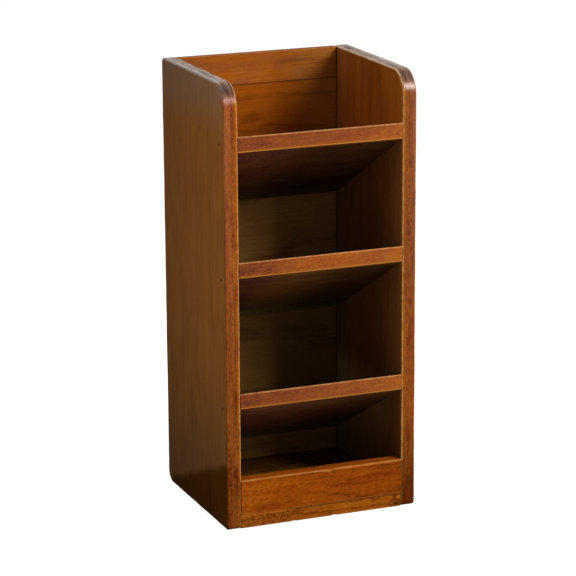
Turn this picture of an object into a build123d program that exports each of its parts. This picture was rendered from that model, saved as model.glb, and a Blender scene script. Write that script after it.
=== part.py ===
from build123d import *
import os
from math import cos, radians, tan

# Tall, narrow desk rack of lacquered solid wood, open at the front.
# Two side panels carry three shelves that fall towards the back, a bottom board,
# and the front lip and the back boards that stand on the bottom board.
# Everything is butt jointed, glued and nailed.
#
# Frame: X to the right, Y from the front to the back, Z up.
# The origin is on the table, in the middle of the footprint.
# Sizes are in millimetres and degrees.

# Outer sizes
outer_width = 135.0
outer_depth = 115.0
tray_wall_height = 32.5         # side panels above the upper shelf's front edge

# Boards
side_thickness = 10.0
shelf_thickness = 10.0
back_thickness = 6.0
bottom_thickness = 9.3
lip_thickness = 9.5
lip_height = 24.2

# Shelves, measured at their front edges
shelf_slope = 28.0              # fall towards the back
upper_shelf_rise = 82.5         # from the middle shelf's front edge
middle_shelf_rise = 88.0        # from the lower shelf's front edge
lower_bay_rear_height = 15.4    # clear height under the lower shelf, at the back

# Back boards
back_drop = 0.6                 # the back ends this far below the side panels
top_board_height = 21.0
lower_joint_rise = 3.0          # above the underside of the middle shelf's rear edge

# Rounding
top_front_radius = 16.0
top_back_radius = 3.0
bottom_back_radius = 8.0
bottom_front_radius = 3.0
side_arris = 1.2
shelf_arris = 1.1
lip_arris = 1.0
bottom_arris = 0.8
joint_bevel = 0.3
bottom_setback = 0.6            # bottom board, behind the side panels' front edges

# Nails
side_nail_length = 25.0         # through the side panels
rear_nail_length = 16.0         # through the back boards
nail_radius = 0.7
nail_head_radius = 1.05
nail_head_height = 1.2
nail_point_height = 2.4
nail_tip_radius = 0.15
nail_sides = 12                 # small round parts are drawn with this many flats
nail_sink = 0.7                 # heads are punched below the surface
nail_fit = 0.04                 # clearance all round
front_nail_inset = 7.0          # shelf nails, from the front edges
second_nail_inset = 22.0        # shelf nails, from the back boards
bottom_nail_inset = 20.0        # bottom board, in from its front and rear edges
upper_nail_lift = 3.0           # hand-driven front nails, above the shelf's centre line
middle_nail_lift = -3.5
lower_nail_lift = -2.5
rear_nail_side_inset = 25.0     # nails from behind, in from the side panels
rear_nail_rise = 8.0            # and above the underside of the shelf's rear edge

# Derived sizes
inner_width = outer_width - 2 * side_thickness
shelf_depth = outer_depth - back_thickness
shelf_fall = shelf_depth * tan(radians(shelf_slope))
shelf_edge_height = shelf_thickness / cos(radians(shelf_slope))
lower_shelf_height = (
    bottom_thickness + lower_bay_rear_height + shelf_fall + shelf_edge_height
)
middle_shelf_height = lower_shelf_height + middle_shelf_rise
upper_shelf_height = middle_shelf_height + upper_shelf_rise
outer_height = upper_shelf_height + tray_wall_height
back_top = outer_height - back_drop
upper_joint = back_top - top_board_height
shelf_rear_drop = shelf_fall + shelf_edge_height
lower_joint = middle_shelf_height - shelf_rear_drop + lower_joint_rise

front_y = -outer_depth / 2
rear_y = outer_depth / 2
back_face_y = rear_y - back_thickness
inner_x = inner_width / 2
outer_x = outer_width / 2

os.makedirs("parts", exist_ok=True)


def shelf_middle(front_height, inset):
    """Height of a shelf's centre line at a distance behind its front edge."""
    centre = front_height - shelf_edge_height / 2
    return centre - inset * tan(radians(shelf_slope))


def finish(block, name):
    """Name a finished piece and write it."""
    block.part.label = name
    export_step(block.part, f"parts/{name}.step")


# ---------------------------------------------------------------- nail seats
# Each list holds the (Y, Z) places of the nails that go through both side panels.

def shelf_seats(front_height, front_lift):
    """One hand-driven nail near the front, one further back on the centre line."""
    second_inset = shelf_depth - second_nail_inset
    front_z = shelf_middle(front_height, front_nail_inset) + front_lift
    second_z = shelf_middle(front_height, second_inset)
    return [
        (front_y + front_nail_inset, front_z),
        (front_y + second_inset, second_z),
    ]


shelves = {
    "upper": (upper_shelf_height, upper_nail_lift),
    "middle": (middle_shelf_height, middle_nail_lift),
    "lower": (lower_shelf_height, lower_nail_lift),
}
shelf_nail_seats = {
    name: shelf_seats(height, lift) for name, (height, lift) in shelves.items()
}
bottom_seats = [
    (front_y + bottom_setback + bottom_nail_inset, bottom_thickness / 2),
    (rear_y - bottom_nail_inset, bottom_thickness / 2),
]
lip_seats = [(front_y + lip_thickness / 2, bottom_thickness + lip_height / 2)]

side_seats = bottom_seats + lip_seats
for seats in shelf_nail_seats.values():
    side_seats = side_seats + seats

# Nails from behind go through the back boards into each shelf's rear edge.
rear_nail_x = inner_x - rear_nail_side_inset
rear_nail_height = {
    name: height - shelf_rear_drop + rear_nail_rise
    for name, (height, _) in shelves.items()
}
back_boards = {
    "top": (upper_joint, back_top),
    "middle": (lower_joint, upper_joint),
    "bottom": (bottom_thickness, lower_joint),
}


def side_planes(seats):
    """Drilling planes on the outer faces of both side panels."""
    left = [Plane((-outer_x, y, z), z_dir=(-1, 0, 0)) for y, z in seats]
    right = [Plane((outer_x, y, z), z_dir=(1, 0, 0)) for y, z in seats]
    return left + right


def rear_planes(heights):
    """Drilling planes for the nails from behind, on the back's outer face."""
    return [
        Plane((x, rear_y, z), z_dir=(0, 1, 0))
        for z in heights
        for x in (-rear_nail_x, rear_nail_x)
    ]


# ---------------------------------------------------------------- nails

def nail_form(length, top, clearance=0.0):
    """A finishing nail with a small tapered head, point down along Z.

    Z = 0 is the surface that the nail goes in through. With a clearance, and its
    top above the surface, the same form is the bore that the nail lies in.
    """
    neck = -nail_sink - nail_head_height
    point = -nail_sink - length - clearance
    sections = (
        (top, nail_head_radius),
        (neck + nail_head_height / 2, nail_head_radius),
        (neck, nail_radius),
        (point + nail_point_height, nail_radius),
        (point, nail_tip_radius),
    )
    with BuildPart() as nail:
        for height, radius in sections:
            with BuildSketch(Plane.XY.offset(height)):
                RegularPolygon(radius=radius + clearance, side_count=nail_sides)
        loft(ruled=True)
    return nail.part


side_nail = nail_form(side_nail_length, top=-nail_sink)
rear_nail = nail_form(rear_nail_length, top=-nail_sink)
side_bore = nail_form(side_nail_length, top=nail_sink, clearance=nail_fit)
rear_bore = nail_form(rear_nail_length, top=nail_sink, clearance=nail_fit)


def nail_group(nail, planes, name):
    """Equal nails, one on each drilling plane, as separate solids of one piece."""
    with BuildPart() as nails:
        with Locations(*planes):
            add(nail)
    finish(nails, name)


# ---------------------------------------------------------------- side panels

def side_panel(side, name):
    """A board on edge: side is -1 for the left panel and 1 for the right one."""
    with BuildPart() as panel:
        with BuildSketch(Plane.YZ.offset(side * (inner_x + side_thickness / 2))) as outline:
            with Locations((0, outer_height / 2)):
                Rectangle(outer_depth, outer_height)
            corners = (
                ((front_y, outer_height), top_front_radius),
                ((rear_y, outer_height), top_back_radius),
                ((rear_y, 0), bottom_back_radius),
                ((front_y, 0), bottom_front_radius),
            )
            for place, radius in corners:
                fillet(outline.vertices().sort_by_distance(place)[0], radius=radius)
        extrude(amount=side_thickness / 2, both=True)
        fillet(panel.edges().filter_by(Axis.X, reverse=True), radius=side_arris)
        with Locations(*side_planes(side_seats)):
            add(side_bore, mode=Mode.SUBTRACT)
    finish(panel, name)


side_panel(-1, "left_side_panel")
side_panel(1, "right_side_panel")


# ---------------------------------------------------------------- shelves
# A sloping board whose front and rear edges are cut plumb: the front one is flush
# with the side panels, and the rear one seats on the back boards.

for shelf_name, (front_height, _) in shelves.items():
    with BuildPart() as shelf:
        with BuildSketch(Plane.YZ) as shelf_section:
            with BuildLine():
                Polyline(
                    (front_y, front_height),
                    (back_face_y, front_height - shelf_fall),
                    (back_face_y, front_height - shelf_fall - shelf_edge_height),
                    (front_y, front_height - shelf_edge_height),
                    close=True,
                )
            make_face()
        extrude(amount=inner_width / 2, both=True)
        fillet(shelf.edges().filter_by(Axis.X).group_by(Axis.Y)[0], radius=shelf_arris)
        with Locations(*side_planes(shelf_nail_seats[shelf_name])):
            add(side_bore, mode=Mode.SUBTRACT)
        with Locations(*rear_planes([rear_nail_height[shelf_name]])):
            add(rear_bore, mode=Mode.SUBTRACT)
    finish(shelf, f"{shelf_name}_shelf")
    shelf_nail_planes = side_planes(shelf_nail_seats[shelf_name])
    nail_group(side_nail, shelf_nail_planes, f"{shelf_name}_shelf_nails")


# ---------------------------------------------------------------- bottom board
# Its rear lower edge is rounded in line with the side panels.

with BuildPart() as bottom_board:
    with BuildSketch(Plane.YZ) as bottom_section:
        bottom_depth = outer_depth - bottom_setback
        with Locations((bottom_setback / 2, bottom_thickness / 2)):
            Rectangle(bottom_depth, bottom_thickness)
        rear_corner = bottom_section.vertices().sort_by_distance((rear_y, 0))[0]
        fillet(rear_corner, radius=min(bottom_back_radius, bottom_thickness - bottom_arris))
    extrude(amount=inner_width / 2, both=True)
    fillet(bottom_board.edges().filter_by(Axis.X).group_by(Axis.Y)[0], radius=bottom_arris)
    with Locations(*side_planes(bottom_seats)):
        add(side_bore, mode=Mode.SUBTRACT)
finish(bottom_board, "bottom_board")
nail_group(side_nail, side_planes(bottom_seats), "bottom_board_nails")


# ---------------------------------------------------------------- front lip

with BuildPart() as front_lip:
    with BuildSketch(Plane.YZ):
        with Locations((front_y + lip_thickness / 2, bottom_thickness + lip_height / 2)):
            Rectangle(lip_thickness, lip_height)
    extrude(amount=inner_width / 2, both=True)
    long_edges = front_lip.edges().filter_by(Axis.X)
    front_edges = long_edges.group_by(Axis.Y)[0]
    rear_top_edge = long_edges.group_by(Axis.Y)[-1].sort_by(Axis.Z)[-1:]
    fillet(front_edges + rear_top_edge, radius=lip_arris)
    with Locations(*side_planes(lip_seats)):
        add(side_bore, mode=Mode.SUBTRACT)
finish(front_lip, "front_lip")
nail_group(side_nail, side_planes(lip_seats), "front_lip_nails")


# ---------------------------------------------------------------- back boards
# Three horizontal boards, edge to edge, that stand on the bottom board between
# the side panels. Small bevels along their edges draw the joint lines.

for board_name, (low_z, high_z) in back_boards.items():
    with BuildPart() as board:
        with BuildSketch(Plane.YZ):
            with Locations((rear_y - back_thickness / 2, (low_z + high_z) / 2)):
                Rectangle(back_thickness, high_z - low_z)
        extrude(amount=inner_width / 2, both=True)
        chamfer(board.edges().filter_by(Axis.X), length=joint_bevel)
        with Locations(*rear_planes(rear_nail_height.values())):
            add(rear_bore, mode=Mode.SUBTRACT)
    finish(board, f"back_board_{board_name}")

nail_group(rear_nail, rear_planes(rear_nail_height.values()), "rear_nails")
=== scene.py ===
"""Looks of a tiered wooden rack: lacquered boards, worn edges, nails and studio light.

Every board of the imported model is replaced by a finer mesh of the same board, with
rounded arrises that are a little uneven, a few nicks, and nail holes where they show.
Lengths are in metres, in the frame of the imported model: X right, Y back, Z up.
"""

from math import cos, hypot, pi, radians, tan

import bmesh
import bpy
from mathutils import Matrix, Vector, noise


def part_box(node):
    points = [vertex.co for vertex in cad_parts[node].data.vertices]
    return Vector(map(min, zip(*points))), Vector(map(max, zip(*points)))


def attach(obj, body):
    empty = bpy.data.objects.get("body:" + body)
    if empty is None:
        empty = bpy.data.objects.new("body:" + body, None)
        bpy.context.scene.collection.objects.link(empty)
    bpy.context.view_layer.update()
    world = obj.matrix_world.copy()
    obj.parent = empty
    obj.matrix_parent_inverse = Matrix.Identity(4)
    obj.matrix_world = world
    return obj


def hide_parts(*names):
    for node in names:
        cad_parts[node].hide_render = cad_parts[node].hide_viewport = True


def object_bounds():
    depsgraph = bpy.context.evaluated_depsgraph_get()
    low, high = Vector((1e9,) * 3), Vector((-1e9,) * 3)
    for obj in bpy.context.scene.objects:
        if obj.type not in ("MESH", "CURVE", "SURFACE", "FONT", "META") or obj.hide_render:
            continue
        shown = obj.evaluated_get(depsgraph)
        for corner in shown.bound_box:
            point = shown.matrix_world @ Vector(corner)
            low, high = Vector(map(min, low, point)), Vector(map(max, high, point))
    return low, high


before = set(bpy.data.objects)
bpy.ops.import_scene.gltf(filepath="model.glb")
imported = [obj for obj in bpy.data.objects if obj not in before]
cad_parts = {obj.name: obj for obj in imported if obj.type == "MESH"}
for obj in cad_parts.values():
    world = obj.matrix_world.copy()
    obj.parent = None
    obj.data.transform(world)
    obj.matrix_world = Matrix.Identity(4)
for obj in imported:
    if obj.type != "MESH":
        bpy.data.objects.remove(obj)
cad_low, cad_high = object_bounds()

MM = 0.001

# ---------------------------------------------------------------- sizes

# Rounding of the boards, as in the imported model
SIDE_ARRIS = 1.2 * MM
SIDE_CORNERS = {"front_low": 3 * MM, "front_high": 16 * MM, "rear_low": 8 * MM, "rear_high": 3 * MM}
SHELF_SLOPE = radians(28)
SHELF_EDGE = 10 * MM / cos(SHELF_SLOPE)      # height of a shelf's plumb front edge
TRAY_DEPTH = 80 * MM                         # from the top edge to the tray's rear corner, about
SHELF_CORNERS = {"front_low": 1.1 * MM, "front_high": 1.1 * MM, "rear_low": 0, "rear_high": 0}
LIP_CORNERS = {"front_low": 1 * MM, "front_high": 1 * MM, "rear_low": 0, "rear_high": 1 * MM}
BOTTOM_CORNERS = {"front_low": 0.8 * MM, "front_high": 0.8 * MM, "rear_low": 8 * MM, "rear_high": 0}
BACK_CORNERS = dict.fromkeys(SIDE_CORNERS, 0.3 * MM)

# Nails
NAIL_HEAD_RADIUS = 1.05 * MM
NAIL_HOLE_RADIUS = 1.1 * MM
NAIL_HOLE_DEPTH = 1.9 * MM
NAIL_HOLE_SIDES = 20
REAR_NAIL_RISE = 8 * MM          # above the underside of the shelf's rear edge

# Fineness of the meshes
ARRIS_STEPS = 4                  # facets in half an arris
CORNER_STEPS = 9                 # facets in half a large corner
LARGE_CORNER = 2 * MM            # from here on, a corner is a shape and not an arris
FACE_STEP = 3.5 * MM
NICKED_STEP = 1.0 * MM

# Rubbing of the arrises, which also carries their painted highlight: how far it reaches onto the faces, and
# how strong it is
RUB_REACH = 0.25 * MM
RIDGE_FLANK = 0.3
EVEN_RUB = {"left": 1, "right": 1, "front_low": 1, "front_high": 1, "rear_low": 1, "rear_high": 1}
UNTOUCHED = dict.fromkeys(EVEN_RUB, 0)
SIDE_RUBS = {"left": {"left": 0.15}, "right": {"right": 0.8}}
BOTTOM_RUBS = {"front_high": -1}             # a dirty joint under the lip
BACK_RUBS = {
    "top": {"front_low": -1, "front_high": 1, "rear_high": 1},
    "middle": {"front_high": -1},
    "bottom": {},
}

# Unevenness
WAVE_DEPTH = 0.12 * MM           # of the planed faces
WAVE_LENGTH = 45 * MM
ARRIS_WEAR = 0.35                # share by which an arris swells and thins
ARRIS_WEAR_LENGTH = 12 * MM
TINY = 1e-7


# ---------------------------------------------------------------- board meshes

def marks(low, high, near, far, step):
    """Places from low to high: at the insets near and far from the ends, else step apart."""
    near = sorted({round(inset, 8) for inset in near} | {0.0})
    far = sorted({round(inset, 8) for inset in far} | {0.0})
    first = low + near[-1]
    last = high - far[-1]
    count = max(1, round((last - first) / step))
    between = [first + (last - first) * i / count for i in range(1, count)]
    return [low + inset for inset in near] + between + [high - inset for inset in reversed(far)]


def round_insets(radius):
    """Insets from an end that become equal angles once that end is rounded."""
    if radius == 0:
        return []
    large = radius > LARGE_CORNER
    steps = CORNER_STEPS if large else ARRIS_STEPS
    insets = [radius * (1 - tan(pi / 4 * i / steps)) for i in range(steps + 1)]
    return insets if large else insets + [radius + RUB_REACH]


def rub_beyond(distance):
    """How rubbed a face is at this distance beside an arris."""
    return min(1.0, max(0.0, 1 - distance / RUB_REACH))


def ridge(first, second):
    """1 on the middle of an arris, less toward its two faces."""
    return RIDGE_FLANK + (1 - RIDGE_FLANK) * min(first, second) / max(first, second)


class Board:
    """A section in the YZ plane with rounded corners, run along X.

    It starts as a box of marks. Rings of marks about a corner become round ones, and
    marks near both an end face and the outline go onto the arris between them.
    """

    def __init__(self, node, corners, end_arris=0.0, slope=0.0, step=FACE_STEP, nicks=(), rubs=None):
        self.node = node
        self.corners = corners
        self.end_arris = end_arris
        self.step = step
        self.nicks = nicks
        self.rubs = {**EVEN_RUB, **(rubs or {})}
        self.shear = tan(slope)
        self.low, self.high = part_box(node)
        self.low.z += self.shear * (self.high.y - self.low.y)

    def rulers(self):
        """Marks along X, Y and Z."""
        c = self.corners
        ends = round_insets(self.end_arris)
        if self.end_arris:
            ends = ends + [self.end_arris + RUB_REACH]
        front = ends + round_insets(c["front_low"]) + round_insets(c["front_high"])
        rear = ends + round_insets(c["rear_low"]) + round_insets(c["rear_high"])
        lower = ends + round_insets(c["front_low"]) + round_insets(c["rear_low"])
        upper = ends + round_insets(c["front_high"]) + round_insets(c["rear_high"])
        return (
            marks(self.low.x, self.high.x, ends, ends, self.step),
            marks(self.low.y, self.high.y, front, rear, FACE_STEP),
            marks(self.low.z, self.high.z, lower, upper, FACE_STEP),
        )

    def ring_place(self, y, z, inset):
        """The place at this inset from the outline, and how rubbed it is."""
        front = y - self.low.y < self.high.y - y
        lower = z - self.low.z < self.high.z - z
        corner = ("front" if front else "rear") + ("_low" if lower else "_high")
        radius = self.corners[corner]
        edge_y, side_y = (self.low.y, -1) if front else (self.high.y, 1)
        edge_z, side_z = (self.low.z, -1) if lower else (self.high.z, 1)
        a = radius - side_y * (edge_y - y)
        b = radius - side_z * (edge_z - z)
        rub = self.rubs[corner] * rub_beyond(-min(a, b)) if 0 < radius < LARGE_CORNER else 0.0
        if a > TINY and b > TINY:
            rub *= ridge(a, b)
            reach = (radius - inset) / hypot(a, b)
            return edge_y + side_y * (a * reach - radius), edge_z + side_z * (b * reach - radius), rub
        if radius - a < radius - b:
            return edge_y - side_y * inset, z, rub
        return y, edge_z - side_z * inset, rub

    def place(self, x, y, z):
        """Where a mark goes, and its rub: 0 on a face, 1 on a rubbed arris that is also painted as a
        highlight, -1 on a dirty one.
        """
        spot = Vector((x, y, z))
        wave = WAVE_DEPTH * (1 + noise.noise(spot / WAVE_LENGTH)) / 2
        wear = 1 + ARRIS_WEAR * noise.noise(spot / ARRIS_WEAR_LENGTH)
        inset = min(y - self.low.y, self.high.y - y, z - self.low.z, self.high.z - z)
        depth = min(x - self.low.x, self.high.x - x)
        left = x < self.low.x + self.high.x - x
        rub = 0.0
        if self.end_arris:
            rub = rub_beyond(max(inset, depth) - self.end_arris) * self.rubs["left" if left else "right"]
        if self.end_arris and inset < self.end_arris + TINY and depth < self.end_arris + TINY:
            out = 1 - inset / self.end_arris
            across = 1 - depth / self.end_arris
            rub *= ridge(out + TINY, across + TINY)
            worn = self.end_arris * wear
            inset = worn * (1 - out / hypot(out, across))
            depth = worn * (1 - across / hypot(out, across))
        if self.end_arris:
            depth += wave
        x = self.low.x + depth if left else self.high.x - depth
        y, z, ring_rub = self.ring_place(y, z, inset + wave)
        spot = Vector((x, y, z - self.shear * (y - self.low.y)))
        for centre, radius, push in self.nicks:
            share = max(0.0, 1 - ((spot - centre).length / radius) ** 2)
            spot += push * share * share
        return spot, max(rub, ring_rub, key=abs)

    def mesh(self):
        """The closed surface of the box of marks, with every mark in its place."""
        rulers = self.rulers()
        last = [len(ruler) - 1 for ruler in rulers]
        mesh = bpy.data.meshes.new(self.node + "_board")
        shape = bmesh.new()
        rub_layer = shape.verts.layers.float.new("rub")
        verts = {}

        def vert(i, j, k):
            if (i, j, k) not in verts:
                spot, rub = self.place(rulers[0][i], rulers[1][j], rulers[2][k])
                verts[i, j, k] = shape.verts.new(spot)
                verts[i, j, k][rub_layer] = rub
            return verts[i, j, k]

        for axis in range(3):
            first, second = (axis + 1) % 3, (axis + 2) % 3
            for end in (0, last[axis]):
                for m in range(last[first]):
                    for n in range(last[second]):
                        corners = []
                        for dm, dn in ((0, 0), (1, 0), (1, 1), (0, 1)):
                            index = [0, 0, 0]
                            index[axis], index[first], index[second] = end, m + dm, n + dn
                            corners.append(vert(*index))
                        if end == 0:
                            corners.reverse()
                        shape.faces.new(corners)
        bmesh.ops.recalc_face_normals(shape, faces=shape.faces)
        shape.to_mesh(mesh)
        shape.free()
        return mesh


def make_board(board, material, holes=(), around="Y"):
    """Puts the board's fine mesh in the place of its CAD node.

    A hole runs along Z, turned by a right angle around the axis given.
    """
    piece = bpy.data.objects.new(board.node + "_board", board.mesh())
    bpy.context.scene.collection.objects.link(piece)
    if holes:
        drill(piece, holes, around)
    piece.data.shade_smooth()
    piece.data.set_sharp_from_angle(angle=radians(50))
    weighted = piece.modifiers.new("even faces", "WEIGHTED_NORMAL")
    weighted.keep_sharp = True
    piece.data.materials.append(material)
    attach(piece, "root")
    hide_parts(board.node)
    return piece


def drill(piece, holes, around):
    """Cuts round nail holes at the places given."""
    mesh = bpy.data.meshes.new("hole_cutter")
    shape = bmesh.new()
    for place in holes:
        turn = Matrix.Translation(place) @ Matrix.Rotation(pi / 2, 4, around)
        bmesh.ops.create_cone(
            shape, cap_ends=True, segments=NAIL_HOLE_SIDES, matrix=turn,
            radius1=NAIL_HOLE_RADIUS, radius2=NAIL_HOLE_RADIUS, depth=2 * NAIL_HOLE_DEPTH,
        )
    shape.to_mesh(mesh)
    shape.free()
    cutter = bpy.data.objects.new("hole_cutter", mesh)
    bpy.context.scene.collection.objects.link(cutter)
    cut = piece.modifiers.new("nail holes", "BOOLEAN")
    cut.object = cutter
    cut.solver = "EXACT"
    depsgraph = bpy.context.evaluated_depsgraph_get()
    drilled = bpy.data.meshes.new_from_object(piece.evaluated_get(depsgraph))
    piece.modifiers.clear()
    piece.data = drilled
    bpy.data.objects.remove(cutter)


# ---------------------------------------------------------------- materials

class Tree:
    """A material's node tree, built by short calls that return sockets."""

    def __init__(self, name):
        self.material = bpy.data.materials.new(name)
        self.material.use_nodes = True
        self.tree = self.material.node_tree
        self.tree.nodes.clear()

    def add(self, kind, values=None, **settings):
        node = self.tree.nodes.new(kind)
        for key, value in settings.items():
            setattr(node, key, value)
        for key, value in (values or {}).items():
            if isinstance(value, bpy.types.NodeSocket):
                self.tree.links.new(value, node.inputs[key])
            else:
                node.inputs[key].default_value = value
        return node

    def math(self, operation, first, second=0.0, third=0.0, clamp=False):
        values = {0: first, 1: second, 2: third}
        return self.add("ShaderNodeMath", values, operation=operation, use_clamp=clamp).outputs[0]

    def spread(self, value, low, high, to_low=0.0, to_high=1.0):
        """Maps low..high onto to_low..to_high, smoothly and clamped."""
        values = {"Value": value, "From Min": low, "From Max": high, "To Min": to_low, "To Max": to_high}
        return self.add("ShaderNodeMapRange", values, interpolation_type="SMOOTHSTEP").outputs[0]

    def noise(self, vector, scale, detail=2.0, rough=0.5, seed=0.0, warp=0.0):
        values = {
            "Vector": vector, "W": seed, "Scale": scale,
            "Detail": detail, "Roughness": rough, "Distortion": warp,
        }
        return self.add("ShaderNodeTexNoise", values, noise_dimensions="4D").outputs[0]

    def mix(self, factor, first, second, blend="MIX"):
        node = self.add("ShaderNodeMix", data_type="RGBA", blend_type=blend)
        for socket, value in ((node.inputs[0], factor), (node.inputs[6], first), (node.inputs[7], second)):
            if isinstance(value, bpy.types.NodeSocket):
                self.tree.links.new(value, socket)
            else:
                socket.default_value = value
        return node.outputs[2]

    def scaled(self, axes, factors):
        """Coordinates, each times its own factor."""
        parts = [self.math("MULTIPLY", axis, factor) for axis, factor in zip(axes, factors)]
        return self.add("ShaderNodeCombineXYZ", dict(enumerate(parts))).outputs[0]

    def stretched(self, axes, across, along):
        """Coordinates across and along the fibres, which are the third axis."""
        return self.scaled(axes, (across, across, along))


def colour(red, green, blue):
    return (red, green, blue, 1.0)


# The edge tones are those of rubbed arrises: paler rubbed wood with a painted highlight on it.
SIDE_TONES = {
    "deep": colour(0.150, 0.034, 0.0055),
    "body": colour(0.300, 0.073, 0.0105),
    "pale": colour(0.410, 0.115, 0.0150),
    "edge": colour(0.800, 0.380, 0.1100),
}
SHELF_TONES = {
    "deep": colour(0.165, 0.034, 0.0160),
    "body": colour(0.300, 0.070, 0.0175),
    "pale": colour(0.450, 0.125, 0.0180),
    "edge": colour(0.720, 0.330, 0.1100),
}
BACK_TONES = {
    "deep": colour(0.220, 0.055, 0.0045),
    "body": colour(0.325, 0.086, 0.0065),
    "pale": colour(0.440, 0.130, 0.0100),
    "edge": colour(0.500, 0.170, 0.0220),
}
BASE_TONES = {
    "deep": colour(0.130, 0.028, 0.0020),
    "body": colour(0.400, 0.096, 0.0050),
    "pale": colour(0.540, 0.180, 0.0120),
    "edge": colour(0.560, 0.210, 0.0350),
}
LIP_TONES = {
    "deep": colour(0.180, 0.035, 0.0015),
    "body": colour(0.335, 0.066, 0.0027),
    "pale": colour(0.440, 0.108, 0.0050),
    "edge": colour(0.560, 0.210, 0.0350),
}
PAINTED_LIGHT_OUTER_FACE = colour(1.36, 1.74, 1.75)       # painted light: brighter and cooler on the outer faces, which lie in shade
# painted light: brighter on the inner faces, which lie in shade
PAINTED_LIGHT_INNER_FACE = colour(1.14, 1.27, 0.85)
END_GRAIN = colour(0.260, 0.130, 0.050)
END_LINES = colour(0.090, 0.038, 0.014)
RED_STAIN = colour(0.72, 0.52, 0.75)
LIP_BLOT = colour(0.76, 0.62, 0.80)
LIP_BLOTS = (
    (-42 * MM, 12.5 * MM, 17 * MM, 3.5 * MM),
    (38 * MM, 24.5 * MM, 24 * MM, 2.5 * MM),
    (22 * MM, 21.0 * MM, 26 * MM, 1.8 * MM),
)
WARM_MIDDLE = colour(1.30, 1.34, 0.85)
SMEAR = colour(0.60, 0.45, 0.45)
# painted shade on the arrises that turn to the rear and down
PAINTED_RIM_SHADE = colour(0.22, 0.22, 0.30)
# darker on the turn of the rounded upper corners
CORNER_DARKENING = colour(0.62, 0.50, 0.55)
PAINTED_UPPER_SHEEN = colour(0.75, 0.86, 1.02)          # painted cool sheen on the upper part of the outer faces
PALE_LINES = colour(1.25, 1.40, 1.25)       # in the front edges of the panels
BASE_DIRT = colour(0.50, 0.40, 0.80)        # on the front of the bottom board
BASE_SPECKS = colour(0.50, 0.20, 0.03)
BASE_END = colour(0.62, 0.52, 0.60)
BASE_SPOT = colour(0.22, 0.18, 0.25)
FLECK = colour(0.62, 0.38, 0.26)
# dark joints, and in the finish also painted shade where surfaces are closed in
JOINT_DIRT_AND_SHADE = colour(0.020, 0.007, 0.002)
# painted light in the shaded groove under the lip, left of OPEN_JOINT
GROOVE_PAINTED_LIGHT = colour(0.560, 0.145, 0.008)
SHELF_HEM = colour(0.470, 0.135, 0.010)      # thin lacquer along the lower edges
# painted highlight on the lower front arris, which turns down into shade
SHELF_HEM_HIGHLIGHT = colour(0.850, 0.320, 0.060)
LIP_HEM = colour(0.500, 0.160, 0.012)
# painted highlight on the lower front arris, which turns down into shade
LIP_HEM_HIGHLIGHT = colour(0.620, 0.200, 0.025)
INNER_BANDS = (colour(1.22, 1.34, 0.60), colour(1.08, 1.14, 0.66))   # left and right panel
BACK_TINTS = {
    "top": colour(0.86, 0.86, 2.00),
    "middle": colour(0.82, 0.72, 0.45),
    "bottom": colour(1.00, 1.00, 1.00),
}
TRAY_SHADE = colour(1.00, 1.18, 2.00)

# Painted shade and light inside the bays: its colour, deeper in, at the rear and in the lowest bay, and how
# it changes from left to right
INSIDE_SIDE = colour(0.75, 0.95, 2.4)
INSIDE_SHELF = colour(0.66, 1.00, 1.5)
INSIDE_BACK = colour(0.85, 1.55, 4.8)
DEEP_SIDE = colour(1.00, 1.50, 1.60)
DEEP_SHELF = colour(0.60, 1.40, 1.60)
REAR_SHELF = colour(2.40, 2.60, 2.60)
LOW_SIDE = colour(2.10, 3.00, 4.00)
DEEP_FLOOR = colour(0.55, 0.52, 0.80)
DEEP_FROM = (-10 * MM, 45 * MM)              # along Y, where what is deep in a bay begins
REAR_FROM = (28 * MM, 50 * MM)
BACK_FOOT = (45 * MM, 32 * MM)               # heights between which the back is painted paler: painted light in the lowest bay
BACK_FOOT_LIFT = 1.38
OPEN_JOINT = -22 * MM                        # left of here the shaded groove under the lip is painted lighter
SHELF_SHADES = (
    (1.35, 0.25, -55 * MM, 10 * MM),
    (1.00, 0.36, -30 * MM, 30 * MM),
    (1.45, 0.60, -40 * MM, 35 * MM),
)
BACK_SHADES = {
    "middle": (0.85, 1.40, -5 * MM, 15 * MM),
    "bottom": (0.68, 0.80, -5 * MM, 15 * MM),
}

# Darker at the feet of the side panels, on the left panel as a painted reflection of a dark ground: between
# which heights it fades out, how it slants to the rear, and its strength on the broad faces and the front
# edge
FEET = {
    "left": {
        "low": 23 * MM, "high": 31 * MM, "slant": 0.38, "face": 1.0, "edge": 0.15,
        "stain": colour(0.41, 0.320, 0.060), "halo": colour(0.76, 0.85, 1.10), "smear": 1.0,
    },
    "right": {
        "low": 0 * MM, "high": 85 * MM, "slant": 0.10, "face": 0.75, "edge": 0.80,
        "stain": colour(0.30, 0.190, 0.020), "halo": colour(1.00, 1.00, 1.00), "smear": 0.0,
    },
}

# Where a look changes: from and to along an axis, and what it changes between
# Painted shade on the side panels' broad faces: outer faces darker to the rear and the foot, inner faces
# lighter near the front and darker low down
OUTER_BY_DEPTH = (cad_low[1], cad_high[1], 1.08, 0.76)
OUTER_BY_HEIGHT = (15 * MM, 175 * MM, 0.72, 1.03)
INNER_BY_DEPTH = (cad_low[1], cad_low[1] + 45 * MM, 1.35, 1.0)
INNER_BY_HEIGHT = (40 * MM, 220 * MM, 0.70, 1.0)
# height of the painted sheen and of the extra gloss high on the outer faces
UPPER_FACE_HEIGHT = (cad_high[2] - 45 * MM, cad_high[2])
HANDLED_SHEEN = (cad_low[1] + 30 * MM, cad_low[1] + 5 * MM, 0.13, 0.17)
TRAY_CORNER = (25 * MM, 48 * MM)
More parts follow.
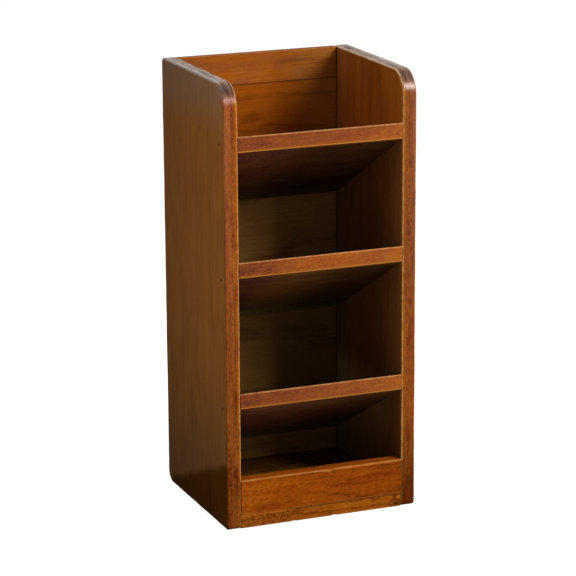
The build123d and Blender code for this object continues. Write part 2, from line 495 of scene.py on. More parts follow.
# heights over which the painted sheen on the front edges comes in
PAINTED_SHEEN_HEIGHT = (90 * MM, 190 * MM)
BAND_REACH = (4.5 * MM, 0.5 * MM)
FOOT_WANDER = 7 * MM
HALO_HEIGHT = 60 * MM
SMEAR_TOP = (46 * MM, 40 * MM)
SMEAR_FOOT = (20 * MM, 32 * MM)
TRAY_LIT = (44 * MM, 26 * MM)                # along X, on the back
TRAY_DARK = (16 * MM, 36 * MM)
TRAY_SHADE_HEIGHT = 48 * MM
# the tray's back painted brighter to the left, where the key light falls
BACK_ACROSS = (2 * MM, 18 * MM, 1.24, 1.08)
BACK_SHEEN = (cad_high[2] - 45 * MM, cad_high[2] - 15 * MM, 0.05, 0.13)
WARM_ACROSS = (42 * MM, 12 * MM)
BASE_WORN_LEFT = (-6 * MM, -34 * MM)         # along X, on the bottom board
BASE_WORN_RIGHT = (43 * MM, 51 * MM)
BASE_END_ACROSS = (46 * MM, 52 * MM)
BASE_SPOT_ACROSS = (50 * MM, 56 * MM)
BASE_SPOT_HEIGHT = (6.5 * MM, 3.0 * MM)
# where the side panels get painted light deep in the lowest bay
LOWEST_BAY_HEIGHT = (90 * MM, 65 * MM)
LOWEST_BAY_DEPTH = (-45 * MM, -5 * MM)
LIGHTENED_JOINT_HEIGHT = (33.5 * MM, 32.5 * MM)       # joints beside the lip and the bottom board, which get little dirt and painted shade
# how far the occlusion that places dirt and painted shade reaches
DIRT_AND_SHADE_REACH = 1.2 * MM
RELIEF_DEPTH = 0.06 * MM
ON_FRONT = (-0.50, -0.75)                    # of the normal along Y

# How strongly each kind of figure shows in the wood
FIGURE = {"fibre": 0.9, "streak": 0.9, "band": 0.6, "stain": 0.5, "mottle": 0.0, "late": 0.17}
PORE_DEPTH = 0.35                            # how dark the pores are
RING_SWAY = 22 * MM                          # how far the growth rings wander
COAT_ROUGHNESS = 0.28
LACQUER_IOR = 1.45
FLOOR_GLOW = 0.91


class Wood(Tree):
    """Stained and lacquered wood, finished in steps that each work on the colour so far.

    grain is the axis of the fibres, X or Z. pith is where the middle of the trunk
    was, across the fibres, so that the growth rings cut the board as arcs. grade is
    how much paler the board gets to the right.
    """

    def __init__(self, name, tones, grain, pith, seed, ring=5 * MM, grade=0.0, **figure):
        super().__init__(name)
        self.tones = tones
        self.seed = seed
        self.polish = 0.03
        self.place = self.add("ShaderNodeTexCoord").outputs["Object"]
        self.x, self.y, self.z = self.add("ShaderNodeSeparateXYZ", {0: self.place}).outputs
        normal = self.add("ShaderNodeNewGeometry").outputs["Normal"]
        self.facing = self.add("ShaderNodeSeparateXYZ", {0: normal}).outputs
        self.rub = self.add("ShaderNodeAttribute", attribute_name="rub").outputs["Fac"]
        axes = (self.x, self.y, self.z) if grain == "Z" else (self.y, self.z, self.x)
        self.late = self.growth_rings(axes, pith, ring)
        self.looks = {
            "fibre": self.noise(self.stretched(axes, 2300, 90), 1.0, 3.0, 0.6, seed + 1),
            "streak": self.noise(self.stretched(axes, 620, 22), 1.0, 3.0, 0.6, seed + 2),
            "band": self.noise(self.stretched(axes, 150, 8), 1.0, 2.0, 0.5, seed + 7),
            "stain": self.noise(self.stretched(axes, 55, 30), 1.0, 4.0, 0.6, seed + 4, 0.4),
            "mottle": self.noise(self.stretched(axes, 760, 420), 1.0, 5.0, 0.75, seed + 9, 0.6),
        }
        pores = self.noise(self.stretched(axes, 2600, 330), 1.0, 1.0, 0.5, seed + 3)
        self.pore = self.spread(pores, 0.60, 0.72)
        self.base = self.figured({**FIGURE, **figure}, grade)

    def growth_rings(self, axes, pith, ring):
        """1 in the dark late wood of each ring. The rings bend and vary along the trunk."""
        sway = self.noise(self.stretched(axes, 25, 9), 1.0, 3.0, 0.5, self.seed)
        sway = self.math("MULTIPLY", self.math("SUBTRACT", sway, 0.5), RING_SWAY)
        off_u = self.math("SUBTRACT", axes[0], pith[0])
        off_w = self.math("SUBTRACT", axes[1], pith[1])
        squares = self.math("ADD", self.math("POWER", off_u, 2), self.math("POWER", off_w, 2))
        reach = self.math("SQRT", squares)
        phase = self.math("FRACT", self.math("DIVIDE", self.math("ADD", reach, sway), ring))
        return self.math("MULTIPLY", self.spread(phase, 0.45, 0.92), self.spread(phase, 1.0, 0.94))

    def figured(self, weight, grade):
        """The bare, stained wood."""
        tint = self.math("MULTIPLY_ADD", self.x, grade / cad_high[0], 0.54)
        for kind, look in self.looks.items():
            tint = self.math("MULTIPLY_ADD", self.math("SUBTRACT", look, 0.5), weight[kind], tint)
        tint = self.math("MULTIPLY_ADD", self.late, -weight["late"], tint)
        base = self.mix(self.spread(tint, 0.05, 0.5), self.tones["deep"], self.tones["body"])
        base = self.mix(self.spread(tint, 0.5, 1.0), base, self.tones["pale"])
        return self.mix(self.math("MULTIPLY", self.pore, PORE_DEPTH), base, self.tones["deep"])

    def placed(self, scales, detail, rough, seed):
        """Noise in the board's own place, at its own scale along X, Y and Z."""
        place = self.scaled((self.x, self.y, self.z), scales)
        return self.noise(place, 1.0, detail, rough, self.seed + seed)

    def product(self, *masks):
        """1 only where all the masks are 1."""
        product = masks[0]
        for mask in masks[1:]:
            product = self.math("MULTIPLY", product, mask)
        return product

    def tint(self, factor, by):
        """Multiplies the colour, where factor is 1."""
        if isinstance(by, float):
            by = colour(by, by, by)
        self.base = self.mix(factor, self.base, by, "MULTIPLY")

    def cover(self, factor, by):
        """Covers the colour, where factor is 1."""
        self.base = self.mix(factor, self.base, by)

    def broad_faces(self):
        """Where a side panel shows its broad faces, and where those are the outer ones."""
        inner_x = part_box("upper_shelf")[1].x
        broad = self.spread(self.math("ABSOLUTE", self.facing[0]), 0.6, 0.95)
        outer = self.spread(self.math("ABSOLUTE", self.x), inner_x + 4 * MM, inner_x + 6 * MM)
        return broad, outer

    def paint_panel_light(self):
        """Painted light and shade on a side panel: its broad faces, which lie in shade, are painted
        brighter, and darker to the rear and the foot; a painted sheen high on the outer face, a painted dark
        rim, and painted shadow colour in the tray's rear corner.
        """
        broad, outer = self.broad_faces()
        self.tint(broad, self.mix(outer, PAINTED_LIGHT_INNER_FACE, PAINTED_LIGHT_OUTER_FACE))
        # Painted shade to the rear and the foot, painted light near the front inside
        toward_rear = self.spread(self.y, *OUTER_BY_DEPTH)
        toward_foot = self.spread(self.z, *OUTER_BY_HEIGHT)
        outside = self.math("MULTIPLY", toward_rear, toward_foot)
        inside_rear = self.spread(self.y, *INNER_BY_DEPTH)
        inside_foot = self.spread(self.z, *INNER_BY_HEIGHT)
        inside = self.math("MULTIPLY", inside_rear, inside_foot)
        self.tint(broad, self.mix(outer, inside, outside))
        # Painted cool sheen and more gloss on the upper part of the outer face
        high = self.spread(self.z, *UPPER_FACE_HEIGHT)
        front = self.spread(self.y, *HANDLED_SHEEN)
        upper_faces = self.math("MULTIPLY", high, broad)
        self.polish = self.math("MULTIPLY_ADD", upper_faces, front, self.polish)
        self.tint(self.math("MULTIPLY", upper_faces, outer), PAINTED_UPPER_SHEEN)
        # Painted shade on the arrises that turn to the rear and down, with less gloss there
        rear_rim = self.product(
            self.spread(self.facing[1], 0.05, 0.25),
            self.spread(self.facing[1], 0.97, 0.90),
        )
        rim = self.math("MAXIMUM", rear_rim, self.spread(self.facing[2], -0.05, -0.25))
        rim = self.math("MULTIPLY", rim, self.spread(self.math("ABSOLUTE", self.facing[0]), 0.15, 0.35))
        self.tint(rim, PAINTED_RIM_SHADE)
        self.polish = self.math("MULTIPLY", self.polish, self.math("SUBTRACT", 1.0, rim))
        # Painted shadow colour on the inner face in the rear corner of the tray
        corner = self.spread(self.y, *TRAY_CORNER)
        within = self.math("MULTIPLY", broad, self.math("SUBTRACT", 1.0, outer))
        self.tint(self.math("MULTIPLY", corner, within), TRAY_SHADE)

    def blotch_edges(self, sheen, painted_sheen, band):
        """A side panel's front edge has taken the stain in red patches and long streaks.

        sheen is how much glossier it is at its top than at its foot, and how far from
        its inner arris that starts. The third argument tints it toward the top as a painted
        cool sheen, and band is the tint beside its inner arris.
        """
        broad = self.broad_faces()[0]
        edges = self.math("SUBTRACT", 1.0, broad)
        self.tint(edges, self.spread(self.looks["mottle"], 0.36, 0.64, 0.74, 1.26))
        # Painted cool sheen toward the top of the front edge
        self.tint(self.math("MULTIPLY", edges, self.spread(self.z, *PAINTED_SHEEN_HEIGHT)), painted_sheen)
        patches = self.placed((190, 90, 36), 4.0, 0.65, 11)
        lines = self.placed((640, 90, 14), 3.0, 0.6, 12)
        blotch = self.math("MULTIPLY", self.spread(patches, 0.52, 0.34), edges)
        self.tint(blotch, RED_STAIN)
        self.tint(self.math("MULTIPLY", self.spread(lines, 0.46, 0.30, 0.0, 0.6), edges), RED_STAIN)
        self.tint(self.math("MULTIPLY", self.spread(lines, 0.50, 0.68), edges), PALE_LINES)
        inner_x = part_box("upper_shelf")[1].x
        across = self.math("SUBTRACT", self.math("ABSOLUTE", self.x), inner_x)
        self.tint(self.math("MULTIPLY", self.spread(across, *BAND_REACH), edges), band)
        upper = self.spread(self.z, 60 * MM, cad_high[2], 0.0, sheen[0])
        upper = self.math("MULTIPLY", upper, self.spread(across, sheen[1], 9.25 * MM))
        self.polish = self.math("MULTIPLY_ADD", upper, edges, self.polish)

    def darken_foot(self, foot):
        """The foot of a side panel is painted darker: on the left panel a painted reflection of a dark
        ground, with a cooler band above it.
        """
        edge = self.placed((160, 160, 25), 4.0, 0.7, 8)
        edge = self.math("MULTIPLY_ADD", edge, FOOT_WANDER, self.z)
        edge = self.math("MULTIPLY_ADD", self.y, foot["slant"], edge)
        darkened = self.spread(edge, foot["high"], foot["low"])
        strength = self.spread(self.broad_faces()[0], 0.0, 1.0, foot["edge"], foot["face"])
        darkened = self.math("MULTIPLY", darkened, strength)
        # Painted reflection of a dark ground on the left panel's foot, with a cooler band above it; the
        # right panel only darker toward its foot
        halo = self.spread(edge, foot["high"] + HALO_HEIGHT, foot["high"])
        self.tint(self.math("MULTIPLY", halo, self.broad_faces()[0]), foot["halo"])
        self.tint(darkened, foot["stain"])
        smear = self.placed((320, 90, 200), 4.0, 0.7, 16)
        smear = self.math("MULTIPLY", self.spread(smear, 0.42, 0.58), self.spread(self.z, *SMEAR_TOP))
        low = self.spread(self.z, *SMEAR_FOOT, 0.20 * foot["smear"], foot["smear"])
        smear = self.math("MULTIPLY", smear, low)
        self.tint(self.math("MULTIPLY", smear, self.math("SUBTRACT", 1.0, self.broad_faces()[0])), SMEAR)
        self.polish = self.math("MULTIPLY", self.polish, self.spread(darkened, 0.0, 1.0, 1.0, 0.3))

    def end_grain(self, pool):
        """End grain on top of a side panel, and the lacquer that pools there and on its corner."""
        upward = self.spread(self.facing[2], 0.25, 0.75)
        lines = self.placed((420, 40, 40), 4.0, 0.7, 9)
        ends = self.math("MAXIMUM", self.spread(lines, 0.44, 0.58), self.math("MULTIPLY", self.late, 0.4))
        self.cover(self.math("MULTIPLY", upward, 0.9), self.mix(ends, END_GRAIN, END_LINES))
        # Darker on the turn of the rounded upper corner
        turn = self.product(
            self.spread(self.facing[2], 0.35, 0.65),
            self.spread(self.facing[2], 0.98, 0.88),
        )
        self.tint(turn, CORNER_DARKENING)
        pooled = self.spread(self.facing[2], 0.10, 0.45)
        uneven = self.noise(self.place, 480, 4.0, 0.75, self.seed + 13)
        flat = self.spread(self.facing[2], 0.60, 0.98, pool, 0.75)
        flat = self.math("MULTIPLY", flat, self.spread(uneven, 0.36, 0.62, 0.55, 1.30))
        thinned = self.spread(self.math("MULTIPLY", ends, upward), 0.0, 1.0, 1.0, 0.45)
        flat = self.math("MULTIPLY", flat, thinned)
        flat = self.math("MULTIPLY_ADD", self.rub, 1.0, flat)
        self.polish = self.math("MULTIPLY_ADD", pooled, flat, self.polish, clamp=True)

    def shade_back(self, tint, patchy):
        """Painted light and shade on the back: brighter to the left, where the key light falls; a painted
        shadow colour where the right panel shades it; painted shade toward the floor of the tray; painted
        light low in the lowest bay; dark joints at its corners. Where lit, the boards get their own tints.
        It gets glossier to its top.
        """
        bottom = cad_high[2] - TRAY_DEPTH
        front = self.spread(self.facing[1], 0.2, -0.2)
        above = self.math("MULTIPLY", self.spread(self.z, bottom - 2 * MM, bottom), front)
        lit = self.math("MULTIPLY", above, self.spread(self.x, *TRAY_LIT))
        if patchy:
            patches = self.placed((22, 22, 75), 3.0, 0.6, 11)
            lit = self.math("MULTIPLY", lit, self.spread(patches, 0.45, 0.60))
        self.tint(lit, tint)
        # Painted shadow colour where the right panel shades the back
        self.tint(self.math("MULTIPLY", above, self.spread(self.x, *TRAY_DARK)), TRAY_SHADE)
        # Painted shade toward the floor of the tray, and painted light to its left
        low = self.spread(self.z, bottom, bottom + TRAY_SHADE_HEIGHT, 0.72, 1.0)
        across = self.spread(self.x, *BACK_ACROSS)
        self.tint(above, self.math("MULTIPLY", low, across))
        # Painted light low on the back, in the lowest bay
        self.tint(self.math("MULTIPLY", self.spread(self.z, *BACK_FOOT), front), BACK_FOOT_LIFT)
        inner_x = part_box("upper_shelf")[1].x
        corner = self.spread(self.math("ABSOLUTE", self.x), inner_x - 1.2 * MM, inner_x - 0.3 * MM, 0.0, 0.8)
        self.cover(self.math("MULTIPLY", corner, front), JOINT_DIRT_AND_SHADE)
        self.polish = self.spread(self.z, *BACK_SHEEN)

    def in_bays(self):
        """0 on the outside and in the tray, rising to 1 on what lies inside the closed bays."""
        shelf_low, shelf_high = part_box("upper_shelf")
        drop = self.math("MULTIPLY_ADD", self.y, tan(SHELF_SLOPE), self.z)
        under = shelf_high.z - SHELF_EDGE + tan(SHELF_SLOPE) * shelf_low.y
        sideways = self.math("ABSOLUTE", self.x)
        within = self.spread(sideways, shelf_high.x + 0.6 * MM, shelf_high.x + 0.25 * MM)
        behind = self.spread(self.y, cad_low[1] + 1 * MM, cad_low[1] + 5 * MM)
        below = self.spread(drop, under + 1.5 * MM, under + 0.5 * MM)
        rear = self.spread(self.y, cad_high[1] - 3 * MM, cad_high[1] - 5 * MM)
        return self.product(within, behind, below, rear)

    def paint_bay_shade(self, inside, deep=None, rear=None, shade=None):
        """Paints shade and light on what lies in the bays, then on what lies deep in them and at their rear.

        shade is a multiplier at the left and one at the right, and the places along X
        between which it changes.
        """
        bays = self.in_bays()
        self.tint(bays, inside)
        if deep:
            self.tint(self.math("MULTIPLY", bays, self.spread(self.y, *DEEP_FROM)), deep)
        if rear:
            self.tint(self.math("MULTIPLY", bays, self.spread(self.y, *REAR_FROM)), rear)
        if shade:
            left, right, start, end = shade
            self.tint(bays, self.spread(self.x, start, end, left, right))

    def hem(self, tone, arris_highlight, bottom, height, strength):
        """Paler lacquer that fades out above the lower edge of a front, and a painted highlight on its lower
        arris, which turns down into shade.
        """
        low = self.math("SUBTRACT", self.z, bottom)
        front = self.spread(self.facing[1], *ON_FRONT)
        uneven = self.math("MULTIPLY_ADD", self.looks["stain"], 1.5 * MM, low)
        self.cover(self.math("MULTIPLY", self.spread(uneven, height, 0.4 * MM, 0.0, strength), front), tone)
        turned = self.product(
            self.spread(self.facing[2], -0.10, -0.40),
            self.spread(self.facing[2], -0.86, -0.75),
        )
        arris = self.math("MULTIPLY", turned, self.spread(low, 1.5 * MM, 1.0 * MM))
        # Painted highlight on the lower arris
        self.cover(self.math("MULTIPLY", arris, strength), arris_highlight)

    def blot(self, x, z, width, height, tone):
        """A blurred, uneven blot of stain on the front, about the place given."""
        uneven = self.math("MULTIPLY", self.math("SUBTRACT", self.looks["stain"], 0.5), 1.4)
        across = self.math("POWER", self.math("DIVIDE", self.math("SUBTRACT", self.x, x), width), 2)
        up = self.math("POWER", self.math("DIVIDE", self.math("SUBTRACT", self.z, z), height), 2)
        reach = self.math("ADD", self.math("ADD", across, up), uneven)
        front = self.spread(self.facing[1], *ON_FRONT)
        self.tint(self.math("MULTIPLY", self.spread(reach, 1.2, 0.1), front), tone)

    def worn_front(self):
        """The bottom board's front: dirty and chipped at its left part and its right end."""
        left = self.spread(self.x, *BASE_WORN_LEFT)
        right = self.spread(self.x, *BASE_WORN_RIGHT)
        worn = self.math("MAXIMUM", left, right)
        dark = self.placed((330, 330, 420), 5.0, 0.75, 14)
        self.tint(self.math("MULTIPLY", self.spread(dark, 0.56, 0.40), worn), BASE_DIRT)
        end = self.math("MULTIPLY", self.spread(self.x, *BASE_END_ACROSS), self.spread(dark, 0.62, 0.42))
        self.tint(end, BASE_END)
        spot = self.product(
            self.spread(self.x, *BASE_SPOT_ACROSS),
            self.spread(self.z, *BASE_SPOT_HEIGHT),
            self.spread(dark, 0.70, 0.45),
        )
        self.tint(spot, BASE_SPOT)
        specks = self.noise(self.place, 800, 3.0, 0.7, self.seed + 15)
        self.cover(self.math("MULTIPLY", self.spread(specks, 0.53, 0.66, 0.0, 0.5), worn), BASE_SPECKS)

    def arrises(self, guard=None, above=False, painted_light_until=None):
        """Arrises are rubbed through to paler wood and painted brighter as highlights, and the sharpest
        places are chipped.

        Below the height of guard they are sheltered. With above, only those that face
        up are rubbed. A negative rub is a dirty arris; left of the place given as the last
        argument, its shaded groove is painted lighter instead.
        """
        rub = self.rub
        if above:
            rub = self.math("MULTIPLY", rub, self.spread(self.facing[2], -0.10, 0.05))
        if guard:
            rub = self.math("MULTIPLY", rub, self.spread(self.z, guard - 3 * MM, guard + 1 * MM, 0.55, 1.0))
        patch = self.noise(self.place, 190, 4.0, 0.7, self.seed + 5)
        rubbed = self.math("MULTIPLY", self.spread(rub, 0.2, 1.0), self.spread(patch, 0.32, 0.60, 0.30, 1.0))
        # Rubbed paler wood on the arrises, painted bright as a highlight too
        self.cover(self.math("MULTIPLY", rubbed, 0.9), self.tones["edge"])
        chip = self.spread(self.noise(self.place, 950, 3.0, 0.7, self.seed + 10), 0.60, 0.66)
        self.cover(self.math("MULTIPLY", chip, self.spread(rub, 0.4, 1.0, 0.0, 0.8)), FLECK)
        dirty = self.spread(self.rub, -0.1, -0.8, 0.0, 0.5)
        # Left of the place given, the shaded groove is painted lighter in place of its dirt
        if painted_light_until:
            open_joint = self.spread(self.x, painted_light_until - 8 * MM, painted_light_until + 8 * MM)
            lightened_groove = self.math("SUBTRACT", 1.0, open_joint)
            lightened_joint = self.math("MULTIPLY", self.spread(self.rub, -0.1, -0.8), lightened_groove)
            self.cover(self.math("MULTIPLY", lightened_joint, 0.9), GROOVE_PAINTED_LIGHT)
            dirty = self.math("MULTIPLY", dirty, open_joint)
        self.cover(dirty, JOINT_DIRT_AND_SHADE)
        self.polish = self.math("MULTIPLY_ADD", rubbed, 0.2, self.polish)

    def finish(self):
        """Adds the dirt and painted shade in the joints and crevices, the relief and the lacquer.

        The joints beside the lip and the bottom board get little of the dirt and painted shade.
        """
        # Dirt and painted shade where a near surface closes the place in
        near = self.add("ShaderNodeAmbientOcclusion", {"Distance": DIRT_AND_SHADE_REACH}, samples=8).outputs["AO"]
        lightened_joint = self.product(
            self.spread(self.z, *LIGHTENED_JOINT_HEIGHT),
            self.spread(self.facing[1], -0.3, -0.6),
        )
        dirt_and_shade = self.spread(lightened_joint, 0.0, 1.0, 0.60, 0.10)
        self.cover(self.math("MULTIPLY", self.spread(near, 0.20, 0.60, 1.0, 0.0), dirt_and_shade), JOINT_DIRT_AND_SHADE)
        peel = self.noise(self.place, 420, 3.0, 0.6, self.seed + 6)
        relief = self.math("MULTIPLY_ADD", self.looks["fibre"], 0.5, self.math("MULTIPLY", peel, 0.8))
        relief = self.math("MULTIPLY_ADD", self.pore, -0.8, relief)
        bump = self.add("ShaderNodeBump", {"Strength": 0.4, "Distance": RELIEF_DEPTH, "Height": relief})
        shader = self.add("ShaderNodeBsdfPrincipled", {
            "Base Color": self.base,
            "Roughness": self.math("MULTIPLY_ADD", self.looks["stain"], 0.2, 0.35),
            "Normal": bump.outputs[0],
            "IOR": LACQUER_IOR,
            "Specular IOR Level": 0.0,
            "Coat Weight": self.polish,
            "Coat Roughness": COAT_ROUGHNESS,
            "Coat Normal": bump.outputs[0],
        })
        self.add("ShaderNodeOutputMaterial", {0: shader.outputs[0]})
        return self.material


def nail_steel():
    """Dull steel, browned by stain and rust."""
    t = Tree("nail_steel_dull")
    place = t.add("ShaderNodeTexCoord").outputs["Object"]
    rust = t.spread(t.noise(place, 1400, 3.0, 0.6, 3.0), 0.4, 0.65)
    base = t.mix(rust, colour(0.10, 0.085, 0.075), colour(0.045, 0.018, 0.008))
    rough = t.math("MULTIPLY_ADD", rust, 0.3, 0.45)
    bump = t.add("ShaderNodeBump", {"Strength": 0.4, "Distance": 0.05 * MM, "Height": rust})
    shader = t.add("ShaderNodeBsdfPrincipled", {
        "Base Color": base,
        "Roughness": rough,
        "Normal": bump.outputs[0],
        "Metallic": 0.6,
    })
    t.add("ShaderNodeOutputMaterial", {0: shader.outputs[0]})
    return t.material


# ---------------------------------------------------------------- the rack

PANEL_PITHS = ((-0.16, 0.02), (0.17, -0.01))     # of the left and the right side panel
PANEL_SHEENS = ((0.40, 1.0 * MM), (0.65, 4.0 * MM))
PANEL_POOLS = (0.60, 1.00)
# painted cool sheen toward the top of each panel's front edge
PANEL_PAINTED_SHEENS = (colour(1.08, 1.04, 1.10), colour(0.91, 0.95, 1.40))
# The right panel's edge tone is brighter and warmer: a painted highlight on its inner arris, which faces
# into shade.
PANEL_TONES = (SIDE_TONES, {**SIDE_TONES, "edge": colour(1.000, 0.500, 0.1400)})
SHELF_SEEDS = (31.0, 47.0, 41.0)                 # upper, middle and lower shelf


def front_nails(node):
    """Where a shelf's front nails go into the two side panels."""
    low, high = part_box(node)
    y = low.y + NAIL_HEAD_RADIUS
    z = high.z - NAIL_HEAD_RADIUS
    return [Vector((x, y, z)) for x in (cad_low[0], cad_high[0])]


def rear_nail_places(shelf):
    """Where the two nails from behind go into the rear edge of a shelf."""
    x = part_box("rear_nails")[1].x - NAIL_HEAD_RADIUS
    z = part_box(shelf)[0].z + REAR_NAIL_RISE
    return [Vector((-x, cad_high[1], z)), Vector((x, cad_high[1], z))]


def nick(x, y, z, radius, push):
    return Vector((x, y, z)), radius, Vector(push)


def build_rack():
    lip_low, lip_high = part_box("front_lip")
    floor_low, floor_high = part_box("bottom_board")
    lip_nicks = (
        nick(5.5 * MM, lip_low.y, lip_high.z, 3.2 * MM, (0, 0.5 * MM, -0.9 * MM)),
        nick(1.5 * MM, lip_low.y, lip_high.z, 2.4 * MM, (0, 0.3 * MM, -0.5 * MM)),
    )
    bottom_nicks = (
        nick(9 * MM, floor_low.y, floor_low.z, 2.2 * MM, (0, 0.4 * MM, 0.6 * MM)),
        nick(-20 * MM, floor_low.y, floor_low.z, 2.0 * MM, (0, 0.3 * MM, 0.3 * MM)),
    )
    shelf_names = ("upper_shelf", "middle_shelf", "lower_shelf")
    holes = [place for name in shelf_names for place in front_nails(name + "_nails")]
    rear_holes = [place for name in shelf_names for place in rear_nail_places(name)]

    for index, side in enumerate(("left", "right")):
        panel = Board(side + "_side_panel", SIDE_CORNERS, end_arris=SIDE_ARRIS, rubs=SIDE_RUBS[side])
        look = Wood(
            side + "_side_wood", PANEL_TONES[index], "Z", PANEL_PITHS[index], 10.0 + 7 * index,
            ring=3.5 * MM, late=0.10, streak=0.6, band=0.5, stain=0.7, mottle=0.3,
        )
        look.paint_panel_light()
        look.blotch_edges(PANEL_SHEENS[index], PANEL_PAINTED_SHEENS[index], INNER_BANDS[index])
        look.darken_foot(FEET[side])
        look.end_grain(PANEL_POOLS[index])
        look.paint_bay_shade(INSIDE_SIDE, DEEP_SIDE)
        # Painted light on the side panels deep in the lowest bay
        lowest = look.product(
            look.spread(look.z, *LOWEST_BAY_HEIGHT),
            look.spread(look.y, *LOWEST_BAY_DEPTH),
            look.in_bays(),
        )
        look.tint(lowest, LOW_SIDE)
        look.arrises(guard=lip_high.z)
        make_board(panel, look.finish(), [p for p in holes if p.x * (2 * index - 1) > 0])

    for index, name in enumerate(shelf_names):
        shelf = Board(name, SHELF_CORNERS, slope=SHELF_SLOPE, step=NICKED_STEP * 2)
        look = Wood(
            name + "_wood", SHELF_TONES, "X", (-0.2, 0.05), SHELF_SEEDS[index],
            grade=0.30, late=0.08, fibre=0.6, streak=0.4, band=0.4, stain=1.1, mottle=1.9,
        )
        if name == "middle_shelf":
            look.tint(look.spread(look.math("ABSOLUTE", look.x), *WARM_ACROSS), WARM_MIDDLE)
        look.hem(SHELF_HEM, SHELF_HEM_HIGHLIGHT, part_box(name)[1].z - SHELF_EDGE, 4.0 * MM, 0.9)
        look.paint_bay_shade(INSIDE_SHELF, DEEP_SHELF, REAR_SHELF, SHELF_SHADES[index])
        look.arrises(above=True)
        make_board(shelf, look.finish())

    for index, name in enumerate(("top", "middle", "bottom")):
        board = Board("back_board_" + name, BACK_CORNERS, rubs={**UNTOUCHED, **BACK_RUBS[name]})
        look = Wood(
            "back_wood_" + name, BACK_TONES, "X", (0.30, 0.28 - 0.1 * index), 51.0 + 6 * index,
            ring=6 * MM, fibre=0.8, streak=0.9, band=0.4, stain=0.5, mottle=0.9, late=0.32,
        )
        look.shade_back(BACK_TINTS[name], name == "top")
        look.paint_bay_shade(INSIDE_BACK, shade=BACK_SHADES.get(name))
        look.arrises()
        low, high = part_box(board.node)
        make_board(board, look.finish(), [p for p in rear_holes if low.z < p.z < high.z], "X")

    bottom = Board("bottom_board", BOTTOM_CORNERS, step=NICKED_STEP, nicks=bottom_nicks, rubs=BOTTOM_RUBS)
    look = Wood(
        "base_wood_stained", BASE_TONES, "X", (-0.1, -0.06), 71.0,
        grade=0.02, streak=0.6, stain=1.3, mottle=1.6,
    )
    look.worn_front()
    look.paint_bay_shade(INSIDE_SHELF, DEEP_FLOOR)
    look.arrises(painted_light_until=OPEN_JOINT)
    make_board(bottom, look.finish())

    lip = Board("front_lip", LIP_CORNERS, step=NICKED_STEP, nicks=lip_nicks)
    look = Wood(
        "lip_wood_amber", LIP_TONES, "X", (-0.13, -0.01), 81.0,
        ring=4 * MM, grade=-0.18, streak=0.9, stain=1.0, mottle=0.9, late=0.16,
    )
    for x, z, width, height in LIP_BLOTS:
        look.blot(x, z, width, height, LIP_BLOT)
    look.tint(1.0, look.spread(look.looks["mottle"], 0.36, 0.64, 0.82, 1.18))
    look.hem(LIP_HEM, LIP_HEM_HIGHLIGHT, lip_low.z, 1.5 * MM, 0.9)
    look.arrises(above=True)
    make_board(lip, look.finish())

    steel = nail_steel()
    for name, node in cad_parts.items():
        if name.endswith("_nails"):
            node.data.materials.clear()
            node.data.materials.append(steel)


# ---------------------------------------------------------------- camera

CAMERA_PLACE = Vector((-0.6558, -1.6145, 0.6058))
CAMERA_TARGET = Vector((-0.0008, -0.0008, 0.1447))
CAMERA_ROLL = radians(-0.333)
CAMERA_LENS = 167.6


def add_camera():
    data = bpy.data.cameras.new("photo_view")
    data.lens = CAMERA_LENS
    data.sensor_width = 36.0
    data.clip_start = 0.05
    data.clip_end = 50.0
    camera = bpy.data.objects.new("photo_view", data)
    look = (CAMERA_TARGET - CAMERA_PLACE).to_track_quat("-Z", "Y").to_matrix().to_4x4()
    camera.matrix_world = Matrix.Translation(CAMERA_PLACE) @ look @ Matrix.Rotation(CAMERA_ROLL, 4, "Z")
    bpy.context.scene.collection.objects.link(camera)
    bpy.context.scene.camera = camera


# ---------------------------------------------------------------- light and floor

KEY_DIRECTION = Vector((-0.50, 0.70, -0.50))     # from the right, the front and above
KEY_DISTANCE = 1.6
KEY_SIZE = 0.60
KEY_POWER = 21.5
TOP_POWER = 6.0
FILL_PLACE = Vector((-1.6, 0.0, 0.9))            # reaches the left side but not the bays
FILL_POWER = 3.2
WORLD_STRENGTH = 0.24


def area_light(name, place, target, size, power):
    data = bpy.data.lights.new(name, "AREA")
    data.shape = "SQUARE"
    data.size = size
    data.energy = power
    lamp = bpy.data.objects.new(name, data)
    lamp.location = place
    lamp.rotation_euler = (Vector(target) - Vector(place)).to_track_quat("-Z", "Y").to_euler()
    bpy.context.scene.collection.objects.link(lamp)
    return lamp


def seen_directly(tree):
    """1 for rays from the camera, from gloss and through glass, which see plain white."""
    path = tree.add("ShaderNodeLightPath").outputs
    seen = tree.math("MAXIMUM", path["Is Camera Ray"], path["Is Glossy Ray"])
    return tree.math("MAXIMUM", seen, path["Is Transmission Ray"])


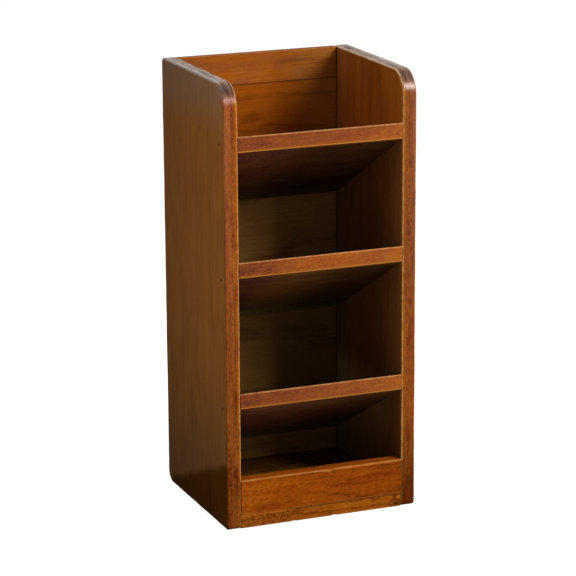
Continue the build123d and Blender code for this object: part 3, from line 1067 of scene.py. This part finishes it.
def add_world():
    world = bpy.data.worlds.new("studio")
    world.use_nodes = True
    bpy.context.scene.world = world
    tree = Tree.__new__(Tree)
    tree.tree = world.node_tree
    tree.tree.nodes.clear()
    soft = tree.add("ShaderNodeBackground", {"Color": colour(0.80, 1.0, 1.20), "Strength": WORLD_STRENGTH})
    white = tree.add("ShaderNodeBackground", {"Color": colour(1, 1, 1), "Strength": 1.0})
    both = tree.add("ShaderNodeMixShader", {0: seen_directly(tree), 1: soft.outputs[0], 2: white.outputs[0]})
    tree.add("ShaderNodeOutputWorld", {0: both.outputs[0]})


def add_floor():
    mesh = bpy.data.meshes.new("floor")
    reach = 6.0
    mesh.from_pydata(
        [(-reach, -reach, 0), (reach, -reach, 0), (reach, reach, 0), (-reach, reach, 0)],
        [], [(0, 1, 2, 3)],
    )
    floor = bpy.data.objects.new("floor", mesh)
    floor.location.z = cad_low[2] - 0.05 * MM
    bpy.context.scene.collection.objects.link(floor)
    t = Tree("floor_white")
    place = t.add("ShaderNodeTexCoord").outputs["Object"]
    fleck = t.noise(place, 30, 3.0, 0.5, 1.0)
    shade = t.mix(fleck, colour(0.36, 0.35, 0.32), colour(0.40, 0.39, 0.36))
    matt = t.add("ShaderNodeBsdfDiffuse", {"Color": shade})
    glow = t.add("ShaderNodeEmission", {"Strength": FLOOR_GLOW})
    lit = t.add("ShaderNodeAddShader", {0: matt.outputs[0], 1: glow.outputs[0]})
    both = t.add("ShaderNodeMixShader", {0: seen_directly(t), 1: matt.outputs[0], 2: lit.outputs[0]})
    t.add("ShaderNodeOutputMaterial", {0: both.outputs[0]})
    floor.data.materials.append(t.material)


def add_lights():
    middle = Vector((0, 0, cad_high[2] / 2))
    key_place = middle - KEY_DIRECTION.normalized() * KEY_DISTANCE
    area_light("key", key_place, middle, KEY_SIZE, KEY_POWER)
    overhead = area_light("overhead", middle + Vector((-0.2, 0.1, 1.6)), middle, 1.2, TOP_POWER)
    overhead.data.color = (0.85, 1.0, 1.15)
    area_light("fill", FILL_PLACE, middle, 1.2, FILL_POWER)


build_rack()
add_camera()
add_lights()
add_world()
add_floor()
bpy.context.scene.view_settings.view_transform = "Standard"
